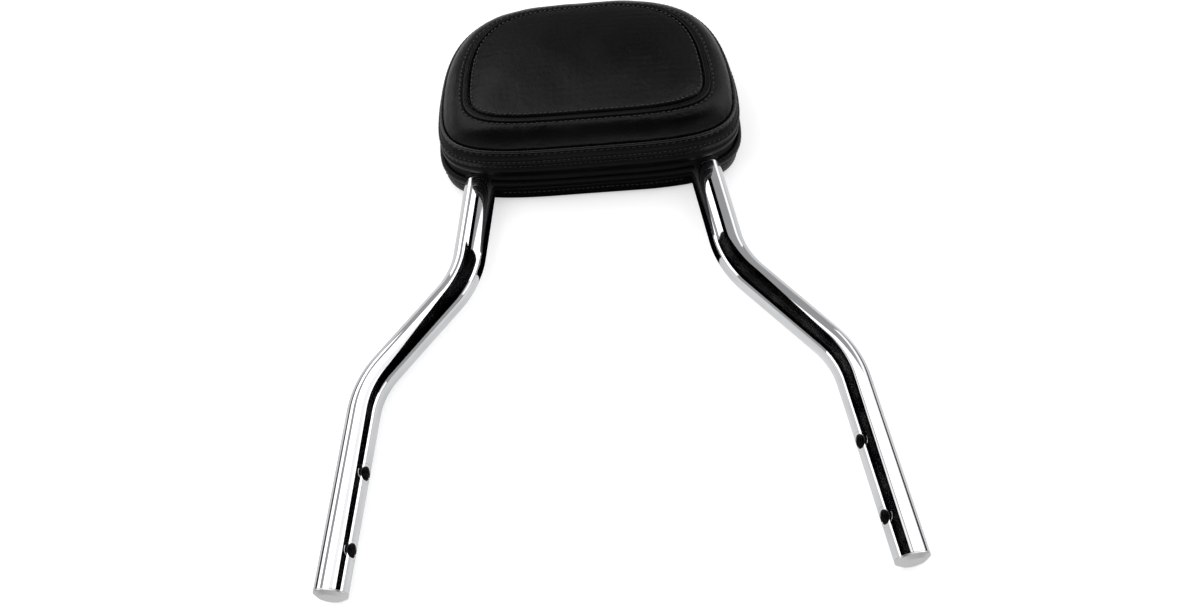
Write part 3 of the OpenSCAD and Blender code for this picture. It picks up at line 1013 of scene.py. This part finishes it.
panel = make_panel()
shell = make_shell()
boxing = make_boxing()
rear_cover = make_rear_cover()
pad_pieces = [
    (panel, ["face_panel"]),
    (make_strip(), ["seam_strip"]),
    (shell, ["face_shell"]),
    (make_piping(), ["face_piping"]),
    (boxing, ["boxing_band"]),
    (rear_cover, ["rear_cover"]),
    (make_binding(), ["rear_binding"]),
    (make_sleeve(-1, "left"), ["left_tube_sleeve"]),
    (make_sleeve(1, "right"), ["right_tube_sleeve"]),
    (stitch_row("stitches_panel", panel, panel_in + 1.8, strip_z + 1.0), []),
    (stitch_row("stitches_shell", shell, strip_in - 1.6, strip_z, SHELL_STITCH, thick=0.8), []),
    (stitch_row("stitches_piping", boxing, 3.4, band_top, STITCH * 1.3, length=3.2, thick=0.8), []),
    (stitch_row("stitches_band_high", boxing, 1.0, BOX_SEAMS[1], thick=0.7), []),
    (stitch_row("stitches_band_low", boxing, 0.6, BOX_SEAMS[0], thick=0.7), []),
    (stitch_row("stitches_rear_high", rear_cover, 0.3, REAR_SEAMS[1], keep=off_the_bar), []),
    (stitch_row("stitches_rear_low", rear_cover, 0.2, REAR_SEAMS[0], keep=off_the_bar), []),
]
for piece, nodes in pad_pieces:
    if nodes:
        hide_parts(*nodes)
    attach(piece, "root")


def make_foam():
    """The foam core, hidden a little way under the leather on every side."""
    corners = [(7, 37), (4.4, 40), (7, 49.5), (12, 54), (13, 58), (15, 61), (18.5, 63.5), (22.5, 65),
               (25.5, 65.6)]
    rings = [tuple(p) for p in smooth_line(corners, 30)]
    for share in (0.97, 0.9, 0.8, 0.65, 0.45, 0.2):
        rings.append((panel_in + 0.3, strip_z - 2.6 + crown * (1 - share ** 2) ** 0.7, share))
    return loft("pad_foam", rings, foam, capped=(True, True))


foam_piece = make_foam()
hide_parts("foam_core")
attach(foam_piece, "root")

# The hidden hardware and the board stay the frame's own nodes, with materials from here
CARRIED = {"mounting_plate": bare_steel, "pad_screws": bare_steel, "screw_washers": bare_steel,
           "tee_nuts": bare_steel, "backing_board": board_wood}
for name, material in CARRIED.items():
    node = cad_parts[name]
    node.data.materials.clear()
    node.data.materials.append(material)


# The floor, the light and the camera

def stage_sheet(name, points, faces, material):
    """A piece of the studio, such as the floor or a card."""
    mesh = bpy.data.meshes.new(name)
    mesh.from_pydata(points, [], faces)
    mesh.materials.append(material)
    sheet = bpy.data.objects.new(name, mesh)
    scene.collection.objects.link(sheet)
    return sheet


def only_in_reflections(sheet):
    """Hides a sheet from the camera and from diffuse light, and takes its shadow away."""
    sheet.visible_camera = False
    sheet.visible_diffuse = False
    sheet.visible_shadow = False


def square(size, height):
    """Corners of a level square, size to each side of the origin."""
    return [(-size, -size, height), (size, -size, height), (size, size, height), (-size, size, height)]


def make_studio():
    """A near-white floor; a glowing grey sheet seen only in reflections, which paints a pale grey floor
    reflection there; and black cards seen only in reflections, which paint dark reflections.
    """
    material, shader = node_material("floor_pale", (0.90, 0.90, 0.90), 0.75, specular=0.1)
    pattern = object_noise(material, 3.0, 3.0)
    link(material, ramp(material, pattern, 0.70, 0.80), shader.inputs["Roughness"])
    shader.inputs["Emission Color"].default_value = (1, 1, 1, 1)
    shader.inputs["Emission Strength"].default_value = 0.45
    floor = stage_sheet("floor", square(4, -0.0004), [(0, 1, 2, 3)], material)
    floor.visible_glossy = False

    # A glowing grey sheet just above the floor, seen only in reflections: a painted floor reflection,
    # darker than the real near-white floor.
    grey, shader = node_material("painted_floor_reflection", (0.0, 0.0, 0.0), 0.9, specular=0.0)
    pattern = object_noise(grey, 9.0, 2.0)
    link(grey, ramp(grey, pattern, (0.53, 0.54, 0.545), (0.80, 0.805, 0.81), 0.25, 0.75),
         shader.inputs["Emission Color"])
    shader.inputs["Emission Strength"].default_value = 1.0
    only_in_reflections(stage_sheet("painted_floor_reflection_sheet", square(0.34, -0.0002), [(0, 1, 2, 3)], grey))

    # Black cards seen only in reflections, which paint dark reflections into the chrome and leather. The
    # first card hangs between the legs, bent down on the left. The second is a metre up, beyond the pad,
    # and the others lie on the floor, before the pad and outside the legs
    black, _ = node_material("painted_reflection_black", (0.0, 0.0, 0.0), 0.9, specular=0.0)
    profile = [(-0.12, 0.085), (-0.08, 0.125), (0.150, 0.125)]
    points = [(x, y, z) for y in (-0.42, 0.075) for x, z in profile]
    only_in_reflections(stage_sheet("dark_reflection_card", points, [(0, 1, 4, 3), (1, 2, 5, 4)], black))
    cards = {
        "black_card_over_pad": [(-0.20, 0.44, 1.0), (0.20, 0.44, 1.0), (0.24, 1.3, 1.0), (-0.24, 1.3, 1.0)],
        "black_card_before_pad": [(-0.075, 0.01, 0), (0.075, 0.01, 0), (0.085, 0.08, 0), (-0.085, 0.08, 0)],
        "black_card_left": [(-0.225, -0.30, 0), (-0.34, -0.30, 0), (-0.34, 0.08, 0), (-0.225, 0.08, 0)],
        "black_card_right": [(0.225, -0.30, 0), (0.34, -0.30, 0), (0.34, 0.08, 0), (0.225, 0.08, 0)]}
    for name, corners in cards.items():
        only_in_reflections(stage_sheet(name, corners, [(0, 1, 2, 3)], black))


def area_light(name, place, target, size, brightness):
    """A soft box. brightness is that of its face, where a white surface in full light has 1."""
    light = bpy.data.lights.new(name, "AREA")
    light.shape = "RECTANGLE"
    light.size, light.size_y = size
    light.energy = brightness * math.pi * size[0] * size[1]
    lamp = bpy.data.objects.new(name, light)
    lamp.location = place
    lamp.rotation_euler = (Vector(target) - Vector(place)).to_track_quat("-Z", "Y").to_euler()
    lamp.visible_camera = False
    scene.collection.objects.link(lamp)


make_studio()
world = bpy.data.worlds.new("studio")
scene.world = world
world.use_nodes = True
background = world.node_tree.nodes["Background"]
background.inputs["Color"].default_value = (0.97, 0.985, 1.0, 1)
background.inputs["Strength"].default_value = 0.34
# Each soft box by its place, target, size and brightness
SOFT_BOXES = {
    "soft_box_overhead": ((-0.68, 0.20, 1.0), (-0.68, 0.20, 0), (0.96, 1.7), 1.5),
    "soft_box_middle": ((0.0, -0.10, 1.0), (0.0, -0.10, 0), (0.36, 1.04), 0.7),
    "soft_box_right": ((0.95, 0.25, 0.85), (0.176, 0.25, 0), (0.80, 1.7), 1.2),
    "soft_box_right_low": ((1.20, 0.20, 0.22), (0.176, -0.10, 0.05), (1.6, 0.40), 0.8),
    "soft_box_left": ((-1.15, 0.20, 0.22), (-0.176, -0.14, 0.05), (1.6, 0.40), 1.4),
    "soft_box_front": ((0.0, -1.7, 0.75), (0.0, 0.0, 0.05), (2.4, 0.5), 1.0)}
for name, settings in SOFT_BOXES.items():
    area_light(name, *settings)

# The camera, fitted to the legs, bends and ends that the photo shows
camera_data = bpy.data.cameras.new("camera")
camera = bpy.data.objects.new("camera", camera_data)
scene.collection.objects.link(camera)
scene.camera = camera
ahead = Vector((-0.04571, 0.47795, -0.87720)).normalized()
right = Vector((0.99650, -0.03971, -0.07356)).normalized()
above = right.cross(ahead).normalized()
turned = Matrix((right, above, -ahead)).transposed().to_4x4()
camera.matrix_world = Matrix.Translation((0.00705, -0.4901, 0.8889)) @ turned
camera_data.sensor_width = 36.0
camera_data.lens = 45.6
camera_data.shift_x = 0.0417
camera_data.shift_y = -0.0008
camera_data.clip_start = 0.01

scene.view_settings.view_transform = "Standard"
